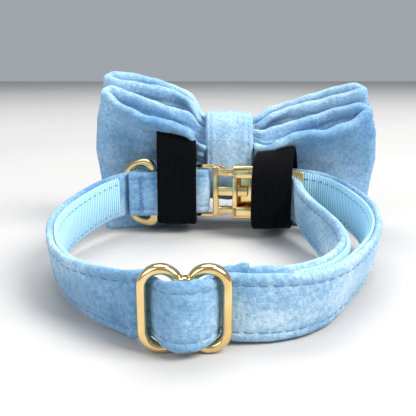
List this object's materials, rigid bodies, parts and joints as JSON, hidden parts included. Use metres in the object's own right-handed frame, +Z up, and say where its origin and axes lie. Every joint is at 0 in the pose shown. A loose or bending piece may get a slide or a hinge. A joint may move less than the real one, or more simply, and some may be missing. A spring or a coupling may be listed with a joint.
{
  "type": "pet bow tie collar",
  "caption": "Velvet pet collar with webbing lining, side-release buckle, slide, D ring and a double bow on two elastic bands.",
  "frame": {"origin": "middle of the footprint, on the surface that the collar rests on", "axes": "+X along the back of the collar, to the right as seen from the slide; +Y from the slide towards the bow; +Z up"},
  "size_m": [0.1012, 0.1248, 0.0538],
  "materials": {
    "velvet": "soft pile velvet",
    "bow_cloth": "soft pile velvet",
    "webbing": "ribbed woven webbing",
    "elastic": "matt woven elastic",
    "gold_metal": "polished pale gold plating"
  },
  "bodies": {
    "collar": {"velvet_strap": "velvet", "webbing_lining": "webbing", "slide_adjuster": "gold_metal", "buckle_male": "gold_metal", "buckle_female": "gold_metal", "bow_back": "bow_cloth", "bow_front": "bow_cloth", "knot_band": "bow_cloth", "elastic_left": "elastic", "elastic_right": "elastic"},
    "ring": {"d_ring": "gold_metal"}
  },
  "joints": [
    {"name": "ring_swing", "type": "hinge", "parent": "collar", "child": "ring", "pos_m": [-0.02603, 0.03241, 0.0137], "axis": [-0.0567, 0.0194, 0.9982], "range_deg": [-5, 1]}
  ]
}
